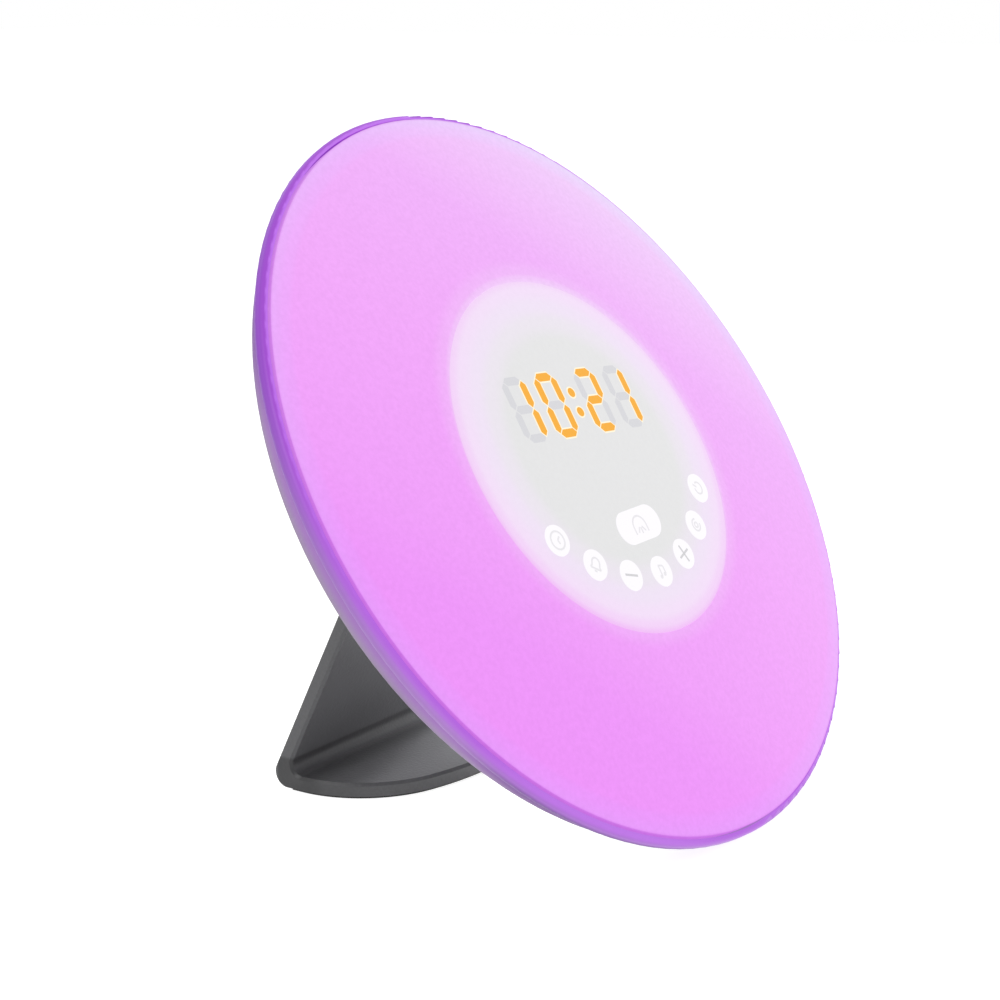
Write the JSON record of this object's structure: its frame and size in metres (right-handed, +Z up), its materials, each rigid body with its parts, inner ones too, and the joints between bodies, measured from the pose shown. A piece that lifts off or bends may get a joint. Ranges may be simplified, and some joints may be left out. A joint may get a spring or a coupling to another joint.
{
  "type": "sunrise alarm clock",
  "caption": "Disc-shaped wake-up light with a glowing domed front, a digit window, flush touch keys and a plug-in folded stand.",
  "frame": {"origin": "on the table, under the middle of the whole clock", "axes": "+Z up, the lit face looks towards -Y and leans back, +X to the right seen from the front"},
  "size_m": [0.17, 0.1015, 0.1434],
  "materials": {
    "opal_front": "satin",
    "rim": "gloss",
    "window": "satin",
    "key_white": "satin",
    "black_moulding": "matte",
    "digit_amber": "satin",
    "board": "satin",
    "white_moulding": "matte",
    "sprung_steel": "satin",
    "lamp": "gloss",
    "dark_moulding": "matte",
    "aluminium_can": "satin",
    "foam": "matte",
    "magnet": "matte",
    "paper_cone": "matte",
    "cell_can": "satin",
    "shell": "satin",
    "stand_grey": "satin",
    "pad_rubber": "matte"
  },
  "bodies": {
    "clock_head": {"front_diffuser": "opal_front", "rim_ring": "rim", "display_window": "window", "key_clock": "key_white", "key_alarm": "key_white", "key_minus": "key_white", "key_sound": "key_white", "key_plus": "key_white", "key_colour": "key_white", "key_power": "key_white", "key_lamp": "key_white", "light_baffle": "black_moulding", "digit_segments": "digit_amber", "digit_module": "black_moulding", "display_board": "board", "touch_pads": "sprung_steel", "reflector_dish": "white_moulding", "led_ring_board": "board", "colour_lamps": "lamp", "white_lamps": "lamp", "main_board": "board", "board_screws": "sprung_steel", "link_header": "dark_moulding", "controller_chip": "dark_moulding", "capacitors": "aluminium_can", "wire_sockets": "white_moulding", "power_inlet": "dark_moulding", "inlet_pin": "sprung_steel", "speaker_gasket": "foam", "speaker_basket": "sprung_steel", "speaker_magnet": "magnet", "speaker_cone": "paper_cone", "coin_cell": "cell_can", "cell_contact_base": "sprung_steel", "cell_contact_side": "sprung_steel", "rear_shell": "shell", "housing_screws": "sprung_steel"},
    "battery_cover": {"battery_cover": "shell"},
    "stand": {"stand_bracket": "stand_grey", "stand_pad": "pad_rubber"}
  },
  "joints": [
    {"name": "stand_plug", "type": "slide", "parent": "clock_head", "child": "stand", "axis": [0, 0.4462, -0.8949], "range_m": [0, 0.012]},
    {"name": "battery_cover_twist", "type": "hinge", "parent": "clock_head", "child": "battery_cover", "pos_m": [0, 0.03137, 0.08301], "axis": [0, 0.8387, -0.5446], "range_deg": [0, 40]}
  ]
}
